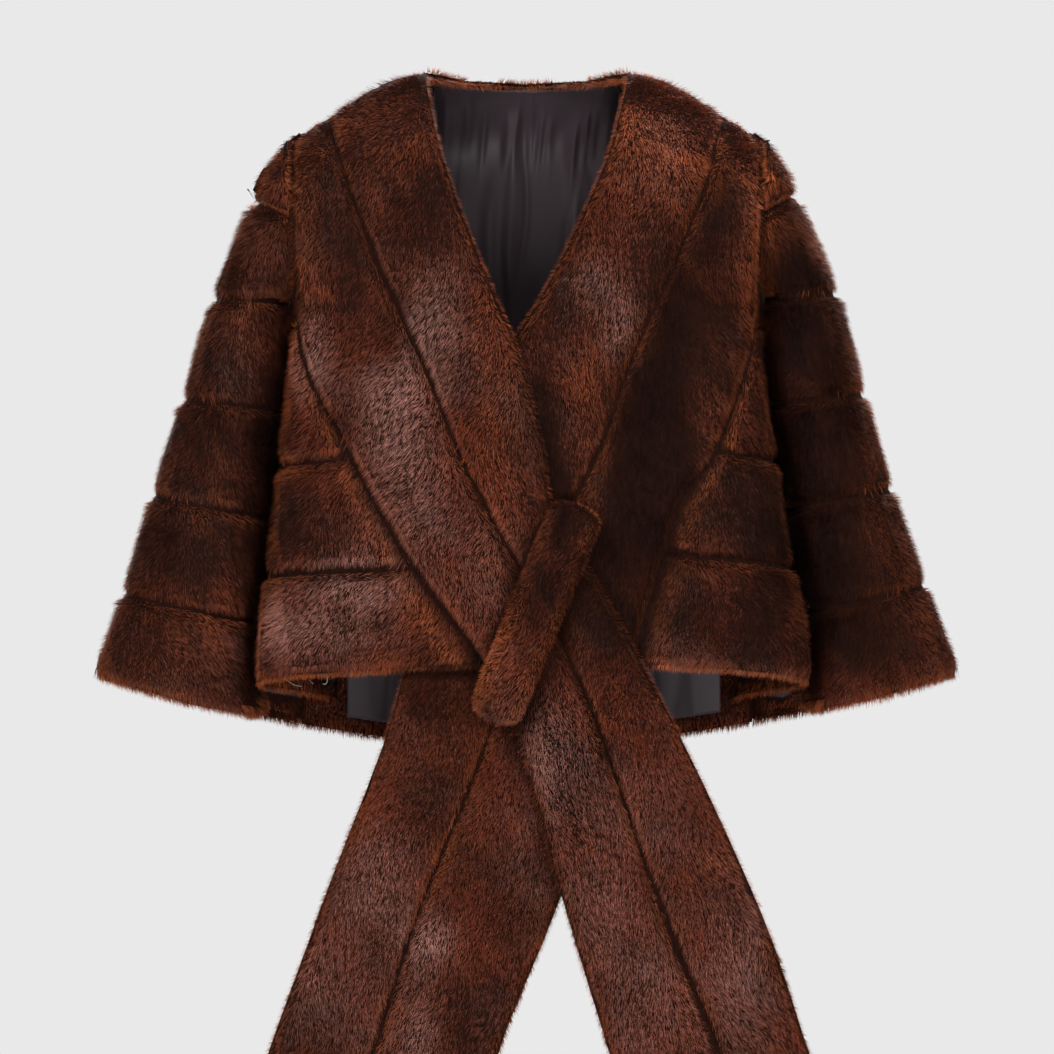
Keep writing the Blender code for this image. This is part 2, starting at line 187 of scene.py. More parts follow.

# Painted sheen highlights (above 0) and painted shade (below 0) on the front's fur, in mm from the back
# neck:
# x, z, half width, half height and strength
SHEEN_AND_SHADE_PATCHES = (
    (-217, -260, 18, 45, 0.75),
    (-127, -300, 34, 60, 0.85),
    (-87, -215, 24, 60, 0.50),
    (-105, -410, 34, 50, 0.50),
    (-47, -490, 36, 45, 0.24),
    (-175, -487, 45, 26, 0.80),
    (-210, -535, 55, 26, 0.75),
    (-257, -505, 16, 50, 0.45),
    (-287, -180, 26, 55, 0.18),
    (98, -240, 18, 36, 0.65),
    (70, -182, 18, 24, 0.45),
    (33, -270, 30, 30, 0.25),
    (15, -670, 20, 60, 0.60),
    (75, -770, 28, 80, 0.40),
    (-97, -842, 22, 20, 0.85),
    (-102, -940, 15, 30, 0.70),
    (-155, -785, 28, 50, 0.40),
    (-195, -870, 36, 60, 0.40),
    (113, -910, 30, 60, 0.35),
    (213, -880, 28, 55, 0.45),
    (153, -430, 11, 30, 0.50),
    (203, -515, 36, 26, -0.25),
    (-127, -755, 26, 40, 0.25),
    (163, -30, 50, 26, 0.35),
    (-130, -850, 100, 150, 0.12),
    (150, -850, 100, 160, 0.14),
    (35, -690, 40, 60, 0.10),
    (-97, -125, 26, 36, -0.40),
    (-190, -150, 34, 55, -0.42),
    (-317, -340, 50, 40, -0.45),
    (-222, -430, 34, 26, -0.30),
    (10, -500, 22, 60, -0.55),
    (203, -535, 40, 24, -0.30),
    (-137, -240, 14, 36, -0.60),
    (-172, -200, 13, 80, -0.35),
    (-265, -380, 14, 150, -0.25),
    (-327, -470, 50, 40, -0.40),
    (123, -340, 30, 60, -1.30),
    (131, -405, 26, 70, -1.40),
    (193, -110, 17, 36, -0.75),
    (160, -230, 32, 60, -0.95),
    (258, -170, 24, 80, -0.85),
    (293, -370, 60, 75, -1.00),
    (315, -475, 65, 55, -0.95),
    (286, -240, 40, 50, -0.80),
    (350, -555, 60, 35, -0.70),
    (80, -470, 30, 60, -0.60),
    (103, -530, 20, 30, -0.50),
    (-97, -600, 36, 25, -0.60),
    (14, -290, 9, 35, -0.65),
    (25, -350, 9, 40, -0.85),
    (36, -405, 9, 32, -0.85),
)

# Painted light on the front's fur, which makes it lighter and orange-brown, in the same columns
PAINTED_LIGHT_PATCHES = (
    (-150, -35, 70, 40, 0.20),
    (165, -35, 85, 50, 1.20),
    (160, -22, 50, 30, 0.60),
    (-226, -130, 16, 110, 0.45),
    (232, -150, 15, 120, 0.70),
    (178, -300, 20, 90, 0.35),
    (-28, -340, 18, 100, 0.45),
    (68, -330, 26, 80, 0.30),
    (-265, -110, 30, 30, 0.45),
    (262, -100, 22, 40, 0.60),
    (350, -300, 24, 190, 0.45),
    (395, -500, 26, 90, 0.45),
    (-45, -575, 40, 30, 0.35),
    (-300, -540, 60, 40, 0.30),
)

# How far the hair leans to the right on its way down, for each kind of piece and on the free ends
LEANS = {
    "stole_left": -0.20,
    "stole_right": -0.06,
    "side_left": -0.32,
    "side_right": -0.22,
    "sleeve_left": 0.22,
    "sleeve_right": -0.10,
    "back": 0.0,
    "waist_loop": -0.75,
}
TAIL_LEANS = {"stole_left": 0.22, "stole_right": -0.26}

# The direction across the waist loop, how wide its lighter borders are, and its shorter pile
LOOP_ACROSS = np.array([0.927, 0.0, -0.376])
LOOP_EDGE = 0.020
LOOP_FULLNESS = 0.42
LOOP_PILE = 0.72

# The hook's and its eye's paths from the front, in mm, and their wire's radius in metres
FASTENERS = (
    ("fur_hook", ((-209, -597), (-206, -598), (-204, -595), (-204, -590), (-205, -586)), 0.0008),
    ("hook_base", ((-222, -593), (-220, -595), (-218, -597)), 0.0006),
    ("hook_eye", ((-246, -591), (-241, -595), (-236, -598), (-229, -599)), 0.00045),
)
FASTENER_LIFT = 0.006
FASTENER_SMOOTHING = 6

# The middle of each sleeve's hollow, for telling its outside from its inside
SLEEVE_MIDDLE_Z = (-0.62, -0.40, -0.20, -0.15)
SLEEVE_MIDDLE_X = (0.362, 0.318, 0.280, 0.190)
SLEEVE_MIDDLE_Y = 0.035

# The random waves' sizes and counts
WAVES = (
    ("swirl", 0.10, 10),
    ("tuft", 0.014, 16),
    ("lean", 0.07, 10),
    ("shade", 0.09, 10),
    ("mottle", 0.035, 14),
)

# The lights' places, aims, sizes and powers
LIGHTS = (
    ("key", (-1.9, -2.6, 1.3), (0, 0, -0.4), (1.5, 1.5), 120),
    ("fill", (2.6, -2.4, 0.2), (0, 0, -0.5), (1.6, 2.0), 21),
    ("top", (1.0, -0.8, 2.0), (0, 0, -0.2), (1.8, 1.2), 62),
    ("back", (-0.8, 3.0, 0.1), (0, 0, -0.45), (1.6, 1.6), 75),
    ("low", (0.3, -2.8, -1.2), (0, 0, -0.7), (1.6, 0.6), 55),
    ("rim", (0.6, 2.4, 1.4), (0, 0, -0.4), (1.8, 1.2), 60),
)
FLOOR_HALF = 5.0
FLOOR_Z = -1.90


def linked(name, data):
    thing = bpy.data.objects.new(name, data)
    bpy.context.scene.collection.objects.link(thing)
    return thing


def add_camera():
    camera = bpy.data.cameras.new("photo_camera")
    camera.lens = LENS_MM
    camera.sensor_width = SENSOR_MM
    camera.sensor_fit = "HORIZONTAL"
    camera.clip_end = 50
    thing = linked("photo_camera", camera)
    distance = FRAME_WIDTH * LENS_MM / SENSOR_MM
    thing.location = (0, PLANE_Y - distance, CENTRE_Z)
    thing.rotation_euler = (math.pi / 2, 0, 0)
    bpy.context.scene.camera = thing


def principled(name, colour, roughness, **more):
    """A material and the handles of its node tree and shader."""
    made = bpy.data.materials.new(name)
    made.use_nodes = True
    tree = made.node_tree
    shader = tree.nodes["Principled BSDF"]
    shader.inputs["Base Color"].default_value = (*colour, 1)
    shader.inputs["Roughness"].default_value = roughness
    for socket, value in more.items():
        shader.inputs[socket.replace("_", " ").title().replace("Ior", "IOR")].default_value = value
    return made, tree, shader


def strand_material():
    made, tree, shader = principled("fur_strands", RED_BROWN, 0.45)
    shader.inputs["Specular IOR Level"].default_value = 0.03
    shader.inputs["Sheen Weight"].default_value = 0.01
    shader.inputs["Sheen Roughness"].default_value = 0.4
    shader.inputs["Sheen Tint"].default_value = (1.0, 0.80, 0.72, 1)
    colour = tree.nodes.new("ShaderNodeAttribute")
    colour.attribute_name = "strand_colour"
    tree.links.new(colour.outputs["Color"], shader.inputs["Base Color"])
    return made


def noise_colour(tree, shader, low, high, scale, stretch=(1, 1, 1)):
    """Links the base colour to a noise between two colours, in object space."""
    where = tree.nodes.new("ShaderNodeTexCoord")
    mapping = tree.nodes.new("ShaderNodeMapping")
    mapping.inputs["Scale"].default_value = stretch
    noise = tree.nodes.new("ShaderNodeTexNoise")
    noise.inputs["Scale"].default_value = scale
    noise.inputs["Detail"].default_value = 4
    ramp = tree.nodes.new("ShaderNodeValToRGB")
    ramp.color_ramp.elements[0].position = 0.35
    ramp.color_ramp.elements[0].color = (*low, 1)
    ramp.color_ramp.elements[1].position = 0.65
    ramp.color_ramp.elements[1].color = (*high, 1)
    tree.links.new(where.outputs["Object"], mapping.inputs["Vector"])
    tree.links.new(mapping.outputs["Vector"], noise.inputs["Vector"])
    tree.links.new(noise.outputs["Fac"], ramp.inputs["Fac"])
    tree.links.new(ramp.outputs["Color"], shader.inputs["Base Color"])
    return noise


def add_bump(tree, shader, noise, strength, distance):
    """Links the shader's normal to the noise's bumps."""
    bump = tree.nodes.new("ShaderNodeBump")
    bump.inputs["Strength"].default_value = strength
    bump.inputs["Distance"].default_value = distance
    tree.links.new(noise.outputs["Fac"], bump.inputs["Height"])
    tree.links.new(bump.outputs["Normal"], shader.inputs["Normal"])


def undercoat_material():
    made, tree, shader = principled("fur_undercoat", UNDERCOAT_BROWN, 0.9)
    shader.inputs["Specular IOR Level"].default_value = 0.05
    darker = tuple(0.5 * c for c in UNDERCOAT_BROWN)
    noise = noise_colour(tree, shader, darker, UNDERCOAT_BROWN, 260, (1, 1, 0.35))
    add_bump(tree, shader, noise, 0.6, 0.0015)
    return made


def lining_material(name, share):
    colour = tuple(share * c for c in LINING_COLOUR)
    made, tree, shader = principled(name, colour, 0.46)
    shader.inputs["Specular IOR Level"].default_value = 0.17 * share
    shader.inputs["Sheen Weight"].default_value = 0.04
    shader.inputs["Sheen Roughness"].default_value = 0.35
    shader.inputs["Anisotropic"].default_value = 0.4
    lighter = tuple(1.12 * c for c in colour)
    noise = noise_colour(tree, shader, colour, lighter, 900, (1, 1, 6))
    add_bump(tree, shader, noise, 0.08, 0.0003)
    return made


def metal_material():
    made, tree, shader = principled("hook_metal", (0.16, 0.15, 0.14), 0.35)
    shader.inputs["Metallic"].default_value = 1.0
    noise = noise_colour(tree, shader, (0.12, 0.11, 0.10), (0.19, 0.18, 0.17), 400)
    add_bump(tree, shader, noise, 0.1, 0.0002)
    return made


def arrays_of(mesh):
    """A mesh's points and triangles as arrays."""
    mesh.calc_loop_triangles()
    points = np.empty(len(mesh.vertices) * 3)
    mesh.vertices.foreach_get("co", points)
    faces = np.empty(len(mesh.loop_triangles) * 3, np.int64)
    mesh.loop_triangles.foreach_get("vertices", faces)
    return points.reshape(-1, 3), faces.reshape(-1, 3)


def vertex_normals(points, faces):
    a, b, c = (points[faces[:, k]] for k in range(3))
    face_normals = np.cross(b - a, c - a)
    normals = np.zeros_like(points)
    for k in range(3):
        np.add.at(normals, faces[:, k], face_normals)
    return unit(normals)


def unit(vectors):
    return vectors / np.maximum(np.linalg.norm(vectors, axis=-1, keepdims=True), 1e-12)


def welded(points, faces):
    """The same surface with its doubled points joined."""
    keys = np.round(points * 1e6).astype(np.int64)
    _, first, back = np.unique(keys, axis=0, return_index=True, return_inverse=True)
    faces = back.reshape(-1)[faces]
    keep = (faces[:, 0] != faces[:, 1]) & (faces[:, 1] != faces[:, 2]) & (faces[:, 2] != faces[:, 0])
    return points[first], faces[keep]


def group_of(name):
    """The nodes that make one surface, and don't shade each other."""
    if name.startswith(("stole_left", "side_left")):
        return "front_left"
    if name.startswith(("stole_right", "side_right")):
        return "front_right"
    return "loop" if name == "waist_loop" else "cape"


def tree_of(nodes, names):
    """One ray-cast tree for several nodes."""
    found_points, found_faces, start = [], [], 0
    for name in sorted(names):
        points, faces = arrays_of(nodes[name].data)
        found_points.append(points)
        found_faces.append(faces + start)
        start += len(points)
    points, faces = np.concatenate(found_points), np.concatenate(found_faces)
    return BVHTree.FromPolygons(points.tolist(), faces.tolist())


def away_from(name, points):
    """Vectors from the garment's hollow to these points."""
    side = -1 if points[:, 0].mean() < 0 else 1
    if name.startswith("sleeve"):
        middle_x = side * np.interp(points[:, 2], SLEEVE_MIDDLE_Z, SLEEVE_MIDDLE_X)
        return points - np.stack([middle_x, middle_x * 0 + SLEEVE_MIDDLE_Y, points[:, 2]], -1)
    if name.startswith("stole"):
        upwards = 2 * np.clip(points[:, 2] + 0.08, 0, 1)
        return np.stack([points[:, 0] * 0.3, points[:, 1] * 0 - 0.1, upwards], -1)
    if name.startswith("back"):
        upwards = np.clip(points[:, 2] + 0.1, 0, 1)
        return np.stack([points[:, 0] * 0.3, points[:, 1] * 0 + 0.1, upwards], -1)
    return points - np.stack([points[:, 0] * 0, points[:, 1] * 0 + 0.02, points[:, 2]], -1)


def flow_of(name, points, normals):
    """The way the hair lies at these points, in the surface."""
    kind = next(key for key in LEANS if name.startswith(key))
    lean = np.full(len(points), LEANS[kind])
    if kind in TAIL_LEANS:
        lean = lean + (TAIL_LEANS[kind] - lean) / (1 + np.exp((points[:, 2] - TAIL_TOP) / TAIL_BLEND))
    along = unit(np.stack([lean, lean * 0, lean * 0 - 1], -1))
    flat = along - normals * (along * normals).sum(-1, keepdims=True)
    short = np.linalg.norm(flat, axis=-1) < 0.25
    outwards = np.cross(np.cross(normals, (0.0, -1.0, 0.0)), normals) * -1
    flat[short] = flat[short] + 0.4 * outwards[short]
    return unit(flat)


class Waves:
    """Smooth random values over space: a sum of sine waves."""

    def __init__(self, rng, size, count):
        self.waves = rng.normal(0, 2 * math.pi / size / 1.7, (count, 3))
        self.phases = rng.uniform(0, 2 * math.pi, count)
        self.scale = math.sqrt(2 / count)

    def at(self, points):
        return np.sin(points @ self.waves.T + self.phases).sum(-1) * self.scale


def turned(vectors, axes, angles):
    """Vectors turned about unit axes."""
    c, s = np.cos(angles)[:, None], np.sin(angles)[:, None]
    along = axes * (axes * vectors).sum(-1, keepdims=True)
    return vectors * c + np.cross(axes, vectors) * s + along * (1 - c)


def mesh_from(name, points, faces):
    mesh = bpy.data.meshes.new(name)
    mesh.vertices.add(len(points))
    mesh.vertices.foreach_set("co", np.ascontiguousarray(points, np.float32).ravel())
    mesh.loops.add(faces.size)
    mesh.loops.foreach_set("vertex_index", np.ascontiguousarray(faces, np.int32).ravel())
    mesh.polygons.add(len(faces))
    mesh.polygons.foreach_set("loop_start", np.arange(0, faces.size, faces.shape[1], dtype=np.int32))
    mesh.update(calc_edges=True)
    return mesh


class Tuck:
    """Where one sleeve's front edge and the body's side are at each height, so that the sleeve meets it."""

    def __init__(self, nodes, side):
        self.sign = -1 if side == "left" else 1
        body = self.points_of(nodes, (f"side_{side}", f"stole_{side}_outer"))
        sleeve = self.points_of(nodes, (f"sleeve_{side}",))
        sleeve = sleeve[sleeve[:, 1] < SLEEVE_MIDDLE_Y - 0.01]
        heights = np.arange(-0.64, -0.04, TUCK_STEP)
        body_x = np.array([self.extreme(body, z, np.max) for z in heights])
        sleeve_x = np.array([self.extreme(sleeve, z, np.min) for z in heights])
        known = ~np.isnan(body_x) & ~np.isnan(sleeve_x)
        self.heights, self.body, self.sleeve = heights[known], body_x[known], sleeve_x[known]

    @staticmethod
    def points_of(nodes, starts):
        return np.concatenate([arrays_of(nodes[name].data)[0] for name in nodes if name.startswith(starts)])

    def extreme(self, points, height, pick):
        near = np.abs(points[:, 2] - height) < TUCK_WINDOW
        return pick(points[near, 0] * self.sign) if near.any() else np.nan

    def moved(self, points):
        """The sleeve's points, with its front edge at the body's side."""
        body = np.interp(points[:, 2], self.heights, self.body)
        edge = np.interp(points[:, 2], self.heights, self.sleeve)
        shift = np.clip(edge - body + SLEEVE_TUCK, 0, MOST_TUCK)
        near = np.clip(1 - (points[:, 0] * self.sign - edge) / TUCK_WIDTH, 0, 1)
        front = np.clip((SLEEVE_MIDDLE_Y - points[:, 1]) / TUCK_BLEND, 0, 1)
        points = points.copy()
        points[:, 0] -= self.sign * shift * near * front
        return points


class Pelt:
    """One node's surface, with the wall's depth at each point."""

    def __init__(self, name, node, everything, others, tucks):
        self.name = name
        points, faces = welded(*arrays_of(node.data))
        if name.startswith("sleeve"):
            points = tucks[name.split("_")[1]].moved(points)
        smooth = bpy.data.objects.new(name + "_smooth", mesh_from(name + "_smooth", points, faces))
        bpy.context.scene.collection.objects.link(smooth)
        modifier = smooth.modifiers.new("smooth", "SUBSURF")
        modifier.subdivision_type = "SIMPLE"
        modifier.levels = 1
        modifier.render_levels = 1
        evaluated = smooth.evaluated_get(bpy.context.evaluated_depsgraph_get())
        mesh = evaluated.to_mesh()
        self.points, self.faces = arrays_of(mesh)
        self.polygons = [tuple(face.vertices) for face in mesh.polygons]
        self.polygon_of = np.empty(len(self.faces), np.int32)
        mesh.loop_triangles.foreach_get("polygon_index", self.polygon_of)
        bpy.data.objects.remove(smooth)
        self.normals = vertex_normals(self.points, self.faces)
        self.tree = BVHTree.FromPolygons(self.points.tolist(), self.faces.tolist())
        self.depth = self.depths()
        self.classify(everything)
        self.open = self.open_shares(others)

    def depths(self):
        """How deep the wall is behind each point."""
        found = np.full(len(self.points), WALL)
        for number, (point, normal) in enumerate(zip(self.points.tolist(), self.normals.tolist())):
            start = Vector(point) - Vector(normal) * RAY_START
            hit = self.tree.ray_cast(start, -Vector(normal), WALL_REACH)
            if hit[0] is not None:
                found[number] = min(hit[3] + RAY_START, DEEPEST_WALL)
        return found

    def open_shares(self, others):
        """How much of the half space over each point no other layer of the garment covers."""
        rng = np.random.default_rng(SEED + 2)
        rays = unit(rng.normal(0, 1, (SHADE_RAYS, 3)))
        found = np.empty(len(self.points))
        for number, normal in enumerate(self.normals):
            start = Vector(self.points[number] + normal * SHADE_LIFT)
            ways = unit(rays + normal * SHADE_TILT).tolist()
            hits = [others.ray_cast(start, Vector(way), SHADE_REACH) for way in ways]
            found[number] = sum(hit[0] is None for hit in hits) / SHADE_RAYS
        return found

    def classify(self, everything):
        """Sorts triangles into outer faces, inner faces and rims, and finds the rims with no neighbour."""
        a, b, c = (self.points[self.faces[:, k]] for k in range(3))
        cross = np.cross(b - a, c - a)
        self.areas = np.linalg.norm(cross, axis=-1) / 2
        self.face_normals = unit(cross)
        self.centres = (a + b + c) / 3
        facing = (self.face_normals * unit(away_from(self.name, self.centres))).sum(-1)
        self.rim = np.zeros(len(self.faces), bool)
        for number, (centre, normal) in enumerate(zip(self.centres.tolist(), self.face_normals.tolist())):
            start = Vector(centre) - Vector(normal) * RAY_START
            hit = self.tree.ray_cast(start, -Vector(normal), RIM_WALL)
            self.rim[number] = hit[0] is None
        if self.name == "waist_loop":
            self.rim[:] = False
            facing = np.ones(len(self.faces))
            self.depth = np.minimum(self.depth, WALL)
        self.outer = (facing > 0) & ~self.rim
        self.free = np.zeros(len(self.faces), bool)
        self.gap = np.zeros(len(self.faces))
        for number in np.flatnonzero(self.rim):
            centre, normal = Vector(self.centres[number]), Vector(self.face_normals[number])
            hit = everything.ray_cast(centre + normal * RIM_START, normal, RIM_REACH)
            self.free[number] = hit[0] is None
            self.gap[number] = 0 if hit[0] is None else hit[3]

    def furred(self):
        """How densely each triangle is furred, as a share of the front's density."""
        towards_front = -self.face_normals[:, 1]
        density = np.interp(towards_front, FACING_STEPS, (BACK_DENSITY, SIDE_DENSITY, FRONT_DENSITY))
        fur = self.outer | self.free
        if self.name.startswith("stole"):
            fur |= (self.centres[:, 2] < TAIL_TOP) & ~self.rim
            density[self.face_normals[:, 1] > 0.3] = TAIL_BACK_DENSITY
        if self.name in HEM_PELTS:
            facing = self.centres[:, 2] < self.edge_z(self.centres[:, 0], -1) + HEM_FACING
            if self.name == "back_5":
                facing |= np.abs(self.centres[:, 0]) > LINING_HALF
            fur |= facing & ~self.rim
            density[facing & ~self.outer] = SIDE_DENSITY
        if self.name == "back_0":
            facing = self.centres[:, 2] > self.edge_z(self.centres[:, 0], 1) - NECK_FACING
            fur |= facing & ~self.rim & (np.abs(self.centres[:, 0]) < NECK_HALF)
        density = np.where(self.free, np.maximum(density, SIDE_DENSITY) * EDGE_DENSITY, density)
        return np.where(fur, density, 0.0)

    def edge_z(self, x, way):
        """The height of this node's upper (way 1) or lower (way -1) edge at x."""
        edges = np.linspace(self.points[:, 0].min() - 1e-4, self.points[:, 0].max() + 1e-4, COLUMN_EDGES)
        place = np.digitize(self.points[:, 0], edges)
        filled = [k for k in range(1, len(edges)) if (place == k).any()]
        middles = [(edges[k] + edges[k - 1]) / 2 for k in filled]
        return np.interp(x, middles, [(self.points[place == k, 2] * way).max() * way for k in filled])


def grow_strands(pelt, rng, waves, share):
    """Corners, normals and colours of a pelt's strands."""
    density = pelt.furred()
    wanted = density * pelt.areas * share
    count = int(min(wanted.sum(), MOST_STRANDS))
    chosen = rng.choice(len(pelt.faces), count, p=wanted / wanted.sum())
    u, v = rng.random(count), rng.random(count)
    over = u + v > 1
    u[over], v[over] = 1 - u[over], 1 - v[over]
    weights = np.stack([1 - u - v, u, v], -1)[..., None]
    corners = pelt.faces[chosen]
    surface = (pelt.points[corners] * weights).sum(1)
    normals = unit((pelt.normals[corners] * weights).sum(1))
    depth = (pelt.depth[corners] * weights[..., 0]).sum(1)
    open_share = (pelt.open[corners] * weights[..., 0]).sum(1)
    free = pelt.free[chosen]
    depth[free] = WALL
    full = np.clip((depth - SEAM_DEPTH) / (WALL - SEAM_DEPTH), 0, 1)
    pile = 1.0
    if pelt.name == "waist_loop":
        pile = LOOP_PILE
        off = np.abs((surface - surface.mean(0)) @ LOOP_ACROSS)
        full = np.clip((off.max() - off) / LOOP_EDGE, LOOP_FULLNESS, 1)
    under = np.clip(depth - SKIN, THINNEST_PILE, WALL - SKIN) * pile

    swirl = SWIRL * waves["swirl"].at(surface) + TUFT_SWIRL * waves["tuft"].at(surface)
    flow = flow_of(pelt.name, surface, normals)
    flow = turned(flow, normals, swirl + rng.normal(0, STRAY, count))
    rise = 1 + LEAN_RISE * waves["lean"].at(surface) + TUFT_RISE * waves["tuft"].at(surface + 0.3)
    height = np.maximum(under, SEAM_LIFT) * np.clip(rise, *RISE_LIMITS)
    height = height * np.clip(rng.normal(HEIGHT_SHARE, HEIGHT_SPREAD, count), *HEIGHT_LIMITS)
    length = pile * STRAND_LENGTH * rng.uniform(*LENGTH_SHARES, count)
    length = length * (SEAM_LENGTH + (1 - SEAM_LENGTH) * full)
    sideways = np.sqrt(np.maximum(length**2 - height**2, (LEAST_LIE * length) ** 2))
    roots = surface - normals * np.where(free, EDGE_ROOT, under)[:, None]
    fuzz = SLEEVE_FUZZ if pelt.name.startswith("sleeve") else EDGE_FUZZ
    height = np.where(free, EDGE_ROOT + fuzz * rng.uniform(*EDGE_SHARES, count), height)
    sideways = np.where(free, EDGE_LIE * sideways, sideways)
    tips = roots + normals * height[:, None] + flow * sideways[:, None]

    along = unit(tips - roots)
    across = turned(unit(np.cross(along, normals)), along, rng.normal(0, TWIST, count))
    widening = np.clip(FRONT_DENSITY / np.maximum(density[chosen], 0.2), 1, MOST_WIDENING) ** 0.5
    width = (STRAND_WIDTH * rng.uniform(*WIDTH_SHARES, count) * widening)[:, None]
    points = np.stack([roots - across * width / 2, roots + across * width / 2, tips], 1)
    lit = unit(normals - along * (normals * along).sum(-1, keepdims=True))
    lit = turned(lit, along, rng.normal(0, LIGHT_STRAY, count))
    lit = unit((1 - LIGHT_TO_SKIN) * lit + LIGHT_TO_SKIN * normals)
    return points, lit, *strand_colours(rng, waves, surface, normals, full, free, open_share)


def patch_values(table, places, normals):
    """A table's patches, summed on surfaces that face the front."""
    total = np.zeros(len(places))
    for row in table:
        x, z, half_width, half_height, strength = np.array(row) / (1000, 1000, 1000, 1000, 1)
        off = ((places[:, 0] - x) / half_width) ** 2 + ((places[:, 2] - z) / half_height) ** 2
        total += strength * np.exp(-0.7 * off)
    return total * np.clip(0.3 - normals[:, 1], 0, 1)


def strand_colours(rng, waves, places, normals, full, free, open_share):
    """Root and tip colours: browns that drift over the pelts, pale guard hairs, and painted light and shade:
    orange rim light at the edges and sides, pale sheen, and shade in dark patches, seams and covered places.
    """
    count = len(places)
    dark, red, orange, pale = (np.array(c) for c in (DARK_BROWN, RED_BROWN, ORANGE_RIM_LIGHT, ROSE_GREY_SHEEN_AND_GUARD))
    # Painted sheen highlights and painted shade from the patch table; shade is their dark part
    patch = patch_values(SHEEN_AND_SHADE_PATCHES, places, normals)
    shade = np.minimum(patch, 0)
    # Painted light from the warm patch table
    painted_light = np.clip(patch_values(PAINTED_LIGHT_PATCHES, places, normals), 0, 1)

    drift = 0.16 * waves["shade"].at(places)
    drift = drift + 0.10 * waves["mottle"].at(places) + 0.06 * waves["tuft"].at(places)
    # Tone drifts at random; the patches add painted shade and painted light to it
    tone = TONE + drift + 0.75 * np.minimum(patch, 0.3) + 0.25 * painted_light
    tone = np.clip(tone + rng.normal(0, TONE_SPREAD, count), 0.0, 1.1)
    tip = dark + (red - dark) * tone[:, None]

    # Painted rim light: orange near the seams' rims, where the surface turns sideways and on free edges,
    # with a little random tone; dark patches dim it
    edge = np.interp(full, (0.0, 0.30, 0.62, 0.97), (0.2, 0.85, 0.75, 0.0))
    sideways = np.clip(1 - np.abs(normals[:, 1]) * 1.15, 0, 1) ** 1.3
    painted_rim_light = 0.60 * edge + 0.80 * sideways + 0.5 * free + 0.10 * waves["mottle"].at(places + 0.7)
    painted_rim_light = np.clip(painted_rim_light, 0, 1) * np.clip(1 + 0.80 * shade, 0.20, 1)
    painted_rim_light = np.clip(painted_rim_light + PAINTED_LIGHT_WARMTH * painted_light, 0, 1)
    tip = tip + (orange - tip) * (WARMTH * painted_rim_light)[:, None]

    # Painted sheen: pale where the patch table is above 0 and in a random drift; the real guard hairs are
    # pale too
    sheen_and_guard_hairs = -0.03 + 0.06 * waves["shade"].at(places + 0.5) + 0.80 * np.maximum(patch, 0)
    sheen_and_guard_hairs = np.clip(sheen_and_guard_hairs + rng.normal(0, SHINE_SPREAD, count), 0, 1) * (1 - 0.5 * painted_rim_light)
    sheen_and_guard_hairs = sheen_and_guard_hairs + GUARD_SHINE * (rng.random(count) < GUARD_SHARE)
    sheen_and_guard_hairs = sheen_and_guard_hairs * np.clip(1 + 1.3 * shade, 0.12, 1)
    tip = tip + (pale - tip) * (SHINE * sheen_and_guard_hairs)[:, None]

    # Random lightness of each strand, darkened by painted shade where other layers cover the fur and in the
    # dark patches, and lifted by the patches' painted light
    light = rng.uniform(*STRAND_LIGHTS, count) * np.interp(open_share, OPEN_STEPS, PAINTED_OCCLUSION_SHADE)
    light = light * np.clip(1 + PATCH_SHADE_DEPTH * shade, 0.3, 1) * (1 + PAINTED_LIGHT_GAIN * painted_light)
    # Painted shade in the seams' grooves and painted light on edges that no neighbour covers
    seam_shade_and_edge_light = np.where(free, EDGE_PAINTED_LIGHT, np.interp(full, (0.0, 0.12, 0.42), (0.22, 0.45, 1.0)))
    tip = tip * (light * seam_shade_and_edge_light)[:, None]
    return tip * ROOT_SHADE, tip


def strand_object(name, points, lit, roots, tips, material):
    """A mesh of single-triangle strands with their own normals, colours and bake map."""
    count = len(points)
    mesh = mesh_from(name, points.reshape(-1, 3), np.arange(count * 3).reshape(-1, 3))
    colours = np.ones((count, 3, 4), np.float32)
    colours[:, 0, :3] = roots
    colours[:, 1, :3] = roots
    colours[:, 2, :3] = tips
    attribute = mesh.attributes.new("strand_colour", "FLOAT_COLOR", "POINT")
    attribute.data.foreach_set("color", colours.ravel())
    side = math.ceil(math.sqrt(count))
    cell = np.stack([np.arange(count) % side, np.arange(count) // side], -1) / side
    spots = np.array([[0.15, 0.15], [0.85, 0.15], [0.5, 0.85]]) / side
    layout = mesh.uv_layers.new(name="OFBake")
    layout.data.foreach_set("uv", (cell[:, None] + spots[None]).astype(np.float32).ravel())
    mesh.polygons.foreach_set("use_smooth", np.ones(count, bool))
    mesh.normals_split_custom_set_from_vertices(np.repeat(lit, 3, 0).astype(np.float32))
    mesh.materials.append(material)
    return linked(name, mesh)


